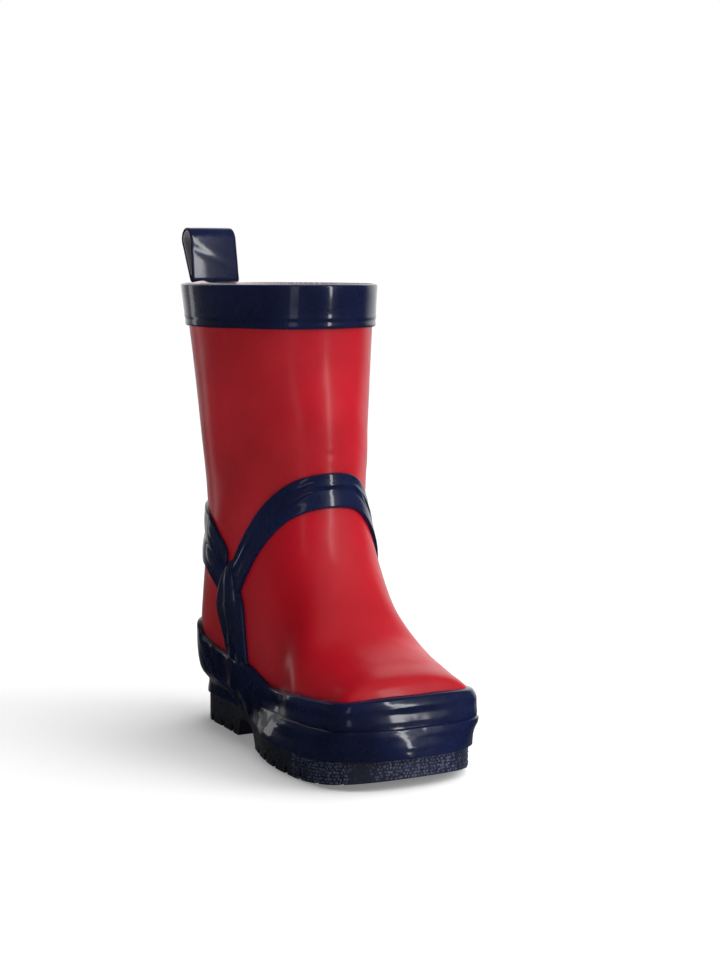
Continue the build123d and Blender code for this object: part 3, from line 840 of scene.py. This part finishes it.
# ---- pebbled toe of the sole -------------------------------------------------------------
def pebbles():
    """Small moulded domes in uneven rows on the toe wall of the sole."""
    rng = np.random.default_rng(7)
    step = np.linalg.norm(np.roll(EDGE, -1, axis=0) - EDGE, axis=1).mean()
    vertices, faces = [], []
    sides, levels = 8, 3
    for row in range(8):
        for k in np.arange(0, ROUND, 1.5 / step):
            index = int(k + row % 2 * 0.75 / step) % ROUND
            s_edge = EDGE[index, 1]
            if s_edge < 127:
                continue
            floor_z = 4.5 * ((s_edge - 125) / 42) ** 2
            z = floor_z + 1.0 + row * 1.35 + rng.normal(0, 0.16)
            if z > float(SOLE_TOP(np.array([s_edge]))[0]) - 1.1 or rng.random() < 0.06:
                continue
            radius = rng.uniform(0.46, 0.76)
            drift = rng.normal(0, 0.18)
            middle = np.append(EDGE[index] + ALONG[index] * drift, z)
            out = np.append(OUTWARD[index], 0.0)
            along = np.append(ALONG[index], 0.0)
            first = len(vertices)
            for level in range(levels):
                tilt = level / levels * math.pi / 2
                for side in range(sides):
                    turn = 2 * math.pi * side / sides
                    spoke = math.cos(turn) * along + np.array([0, 0, math.sin(turn)])
                    rise = radius * 0.8 * math.sin(tilt) - 0.1
                    point = middle + radius * math.cos(tilt) * spoke + rise * out
                    vertices.append((point[0], -point[1], point[2]))
            crown = middle + (radius * 0.8 - 0.1) * out
            vertices.append((crown[0], -crown[1], crown[2]))
            for level in range(levels - 1):
                for side in range(sides):
                    a = first + level * sides + side
                    b = first + level * sides + (side + 1) % sides
                    faces.append([a, b, b + sides, a + sides])
            last = first + (levels - 1) * sides
            for side in range(sides):
                faces.append([last + side, last + (side + 1) % sides, first + levels * sides])
            faces.append([first + side for side in range(sides)][::-1])
    return make_piece("sole_pebbles", np.array(vertices), faces, PEBBLE_PAINTED_HIGHLIGHT, BOOT)


pebbles()

# ---- pull loop ---------------------------------------------------------------------------
LOOP_X, LOOP_S, AXIS_Z, LEAN = -8.7, -3.4, 201.8, math.radians(13)


def teardrop(root, head, rise, start=0.0, count=160):
    """Closed path round two circles, as (back to front, up) from the bending line."""
    slope = math.asin((head - root) / (rise - start))
    turn = np.linspace(-slope, math.pi + slope, count // 2)
    top = np.column_stack([head * np.cos(turn), rise + head * np.sin(turn)])
    turn = np.linspace(math.pi + slope, 2 * math.pi - slope, 24)
    low = np.column_stack([root * np.cos(turn), start + root * np.sin(turn)])
    path = np.concatenate([top, low, top[:1]])
    run = np.concatenate([[0], np.cumsum(np.linalg.norm(np.diff(path, axis=0), axis=1))])
    even = np.linspace(0, run[-1], count, endpoint=False)
    return np.column_stack([np.interp(even, run, path[:, k]) for k in range(2)])


def loop_tape(name, root, head, start, thick, width, material, nodes, crease):
    """A tape bent into a loop, rounded along both edges, bowed and lightly creased."""
    path = blur_round(teardrop(root, head, LOOP_RISE, start), 1.5, axis=0)
    tangent = np.roll(path, -1, axis=0) - np.roll(path, 1, axis=0)
    tangent /= np.linalg.norm(tangent, axis=1)[:, None]
    out = np.column_stack([tangent[:, 1], -tangent[:, 0]])
    if (out * (path - path.mean(axis=0))).sum() < 0:
        out = -out
    share = edged(30, width, thick / 2)
    x = (share - 0.5) * width
    edge = np.minimum(share, 1 - share) * width
    half = thick / 2 * rounded(edge, thick / 2)
    profile_x = np.concatenate([x, x[::-1]])
    profile_h = np.concatenate([half, -half[::-1]])
    rows = []
    for k in range(len(path)):
        along, up = path[k]
        rear = abs(out[k, 0])
        dent = crease * rear * (np.exp(-((up - 9.0 + profile_x * 0.45) / 2.0) ** 2)
                                - 0.6 * np.exp(-((up - 12.5 + profile_x * 0.45) / 2.6) ** 2))
        bow = 0.25 * np.cos(profile_x / width * math.pi) * rear
        h = profile_h - dent + bow
        a = along + h * out[k, 0]
        b = up + h * out[k, 1]
        s = LOOP_S + a * math.cos(LEAN) - b * math.sin(LEAN)
        z = AXIS_Z + a * math.sin(LEAN) + b * math.cos(LEAN)
        rows.append(points_at(LOOP_X + profile_x * (1 - 0.0025 * up) - 0.05 * up, s, z))
    rows = np.array(rows)
    faces = grid_faces(rows.shape[0], rows.shape[1], True, True)
    return make_piece(name, rows, faces, material, LOOP, nodes)


loop_tape("pull_loop_navy", 0.85, 4.65, 0.0, 1.3, LOOP_WIDTH, NAVY,
          ["pull_loop"], crease=0.1)
loop_tape("pull_loop_cotton", 0.45, 3.72, 2.6, 0.6, LOOP_WIDTH - 0.6, GREY,
          ["pull_loop_backing"], crease=0.06)

# the loop's two ends, stitched flat inside the rear wall
share_x = edged(20, LOOP_WIDTH, 0.6)[None]
share_z = edged(18, TAIL_HEIGHT, 0.8)[:, None]
x = LOOP_X + LOOP_WIDTH * (share_x - 0.5) + 0 * share_z
z = TAIL_BOTTOM + (TAIL_HEIGHT - 0.4) * share_z + 0 * share_x
r = cast(x, 50.0, 0.0, -1.0, z, 0.0, 80.0)
s = 50.0 - r
n = field_normal(x, s, z)
edge = np.minimum(np.minimum(share_x, 1 - share_x) * LOOP_WIDTH,
                  np.minimum(share_z, 1 - share_z) * TAIL_HEIGHT)
base = points_at(x, s, z)
depth = 3.5 + 2.0 * rounded(edge, 0.8) + 0.1 * noise(81, x.shape, (5, 5), closed=False)
slab_piece("pull_loop_ends", base - depth[..., None] * n, base - 3.2 * n, GREY, BOOT,
           ["pull_loop_tails"])

# ---- footbed -----------------------------------------------------------------------------
BED_TOP = curve([(-12, 20.8), (45, 20.4), (90, 19.2), (130, 18.8), (178, 21.6)])
bed_reach = wall_reach(np.arange(ROUND), np.full(ROUND, 20.0)) - 4.4
bed_edge = EDGE + bed_reach[:, None] * OUTWARD
BED_PROFILE = [
    # inset from the edge, drop below the top
    (0.0, 2.9), (0.0, 1.6), (0.25, 0.7), (0.9, 0.15),
    (2.2, 0.0), (6.0, -0.05), (12.0, -0.15), (18.0, -0.25),
]
bed_rings = []
for k, (inset, drop) in enumerate(BED_PROFILE):
    pull = np.clip(inset / 24.0, 0, 1)
    spine = np.column_stack([np.zeros(ROUND), np.clip(bed_edge[:, 1], 24, 142)])
    ring_xy = bed_edge + (spine - bed_edge) * pull
    z = BED_TOP(ring_xy[:, 1]) - drop - 0.15
    z = z + (0.12 * noise(91, (8, ROUND), (3, 30))[k] if k > 3 else 0)
    bed_rings.append(np.column_stack([ring_xy[:, 0], -ring_xy[:, 1], z]))
bed_rings = np.array(bed_rings)[:, ::4]
under = bed_rings[0] + np.array([0, 0, -0.1])
bed_rows = np.concatenate([under[None], bed_rings])
footbed = shell_piece("footbed_pad", bed_rows, FELT, FOOTBED, ["footbed"])

# ---- floor, light, camera ----------------------------------------------------------------
def plain(name, colour, rough):
    n = Nodes(name)
    grain = n.ramp(n.noise(6, 4, 0.5), 0.3, 0.7, 0.0, 1.0)
    tint = n.mix(grain, colour, tuple(c * 0.985 for c in colour[:3]) + (1.0,))
    n.set(Base_Color=tint, Roughness=rough, Emission_Color=colour, Emission_Strength=0.22)
    return n.material


floor_mesh = bpy.data.meshes.new("floor")
FLOOR_HALF, FLOOR_DROP = 8.0, 0.0002
corners = [(-1, -1), (1, -1), (1, 1), (-1, 1)]
floor_points = [(a * FLOOR_HALF, b * FLOOR_HALF, -FLOOR_DROP) for a, b in corners]
floor_mesh.from_pydata(floor_points, [], [(0, 1, 2, 3)])
floor = bpy.data.objects.new("floor", floor_mesh)
bpy.context.scene.collection.objects.link(floor)
floor_mesh.materials.append(plain("floor_paper", (0.92, 0.92, 0.925, 1.0), 0.85))
floor.visible_glossy = False

world = bpy.data.worlds.new("studio")
bpy.context.scene.world = world
world.use_nodes = True
tree = world.node_tree
tree.nodes.clear()
out = tree.nodes.new("ShaderNodeOutputWorld")
background = tree.nodes.new("ShaderNodeBackground")
tree.links.new(background.outputs[0], out.inputs["Surface"])
coordinate = tree.nodes.new("ShaderNodeTexCoord")
dot = tree.nodes.new("ShaderNodeVectorMath")
dot.operation = "DOT_PRODUCT"
dot.inputs[1].default_value = (0.66, 0.75, 0.08)
tree.links.new(coordinate.outputs["Generated"], dot.inputs[0])
spread = tree.nodes.new("ShaderNodeMapRange")
spread.interpolation_type = "SMOOTHSTEP"
for key, value in (("From Min", 0.6), ("From Max", 0.9), ("To Min", 0.05), ("To Max", 1.0)):
    spread.inputs[key].default_value = value
tree.links.new(dot.outputs["Value"], spread.inputs["Value"])
height = tree.nodes.new("ShaderNodeSeparateXYZ")
tree.links.new(coordinate.outputs["Generated"], height.inputs[0])
above = tree.nodes.new("ShaderNodeMapRange")
for key, value in (("From Min", -0.25), ("From Max", -0.03), ("To Min", 0.08), ("To Max", 1.0)):
    above.inputs[key].default_value = value
tree.links.new(height.outputs["Z"], above.inputs["Value"])
both = tree.nodes.new("ShaderNodeMath")
both.operation = "MULTIPLY"
tree.links.new(spread.outputs["Result"], both.inputs[0])
tree.links.new(above.outputs["Result"], both.inputs[1])
tree.links.new(both.outputs[0], background.inputs["Strength"])
background.inputs["Color"].default_value = (1, 1, 1, 1)


def area(name, place, target, width, height, radiance, seen):
    """A softbox of a given radiance, seen in "glossy" or in "diffuse" light only."""
    light = bpy.data.lights.new(name, "AREA")
    light.shape = "RECTANGLE"
    light.size, light.size_y = width, height
    light.energy = radiance * math.pi * width * height
    obj = bpy.data.objects.new(name, light)
    bpy.context.scene.collection.objects.link(obj)
    obj.location = place
    obj.rotation_euler = (Vector(target) - Vector(place)).to_track_quat("-Z", "Y").to_euler()
    obj.visible_camera = False
    obj.visible_glossy = seen != "diffuse"
    obj.visible_diffuse = seen != "glossy"
    return obj


area("softbox_right", (0.525, -1.35, 0.56), (0, 0, 0.56), 0.10, 1.3, 15.0, "glossy")
area("softbox_front", (-0.851, -1.235, 0.56), (0, 0, 0.56), 0.30, 1.3, 1.1, "glossy")
area("softbox_left", (-0.36, 1.20, 0.56), (0, 0, 0.56), 0.16, 1.3, 1.0, "glossy")
area("key", (1.0, -1.05, 0.8), (0, 0, 0.1), 0.8, 0.9, 3.9, "diffuse")
sky = bpy.data.lights.new("overhead", "SUN")
sky.energy, sky.angle = 3.1, math.radians(90)
overhead = bpy.data.objects.new("overhead", sky)
bpy.context.scene.collection.objects.link(overhead)
overhead.rotation_euler = Vector((0.46, -0.36, 0.81)).to_track_quat("Z", "Y").to_euler()
overhead.visible_glossy = False

camera_data = bpy.data.cameras.new("camera")
camera_data.lens = 74.38
camera_data.sensor_fit = "VERTICAL"
camera_data.sensor_height = 36
camera_data.clip_start = 0.01
camera = bpy.data.objects.new("camera", camera_data)
bpy.context.scene.collection.objects.link(camera)
camera.location = (-0.4049, -0.7544, 0.2100)
camera.rotation_euler = (math.radians(83.712), 0, math.radians(-29.544))
bpy.context.scene.camera = camera
bpy.context.scene.view_settings.view_transform = "Standard"

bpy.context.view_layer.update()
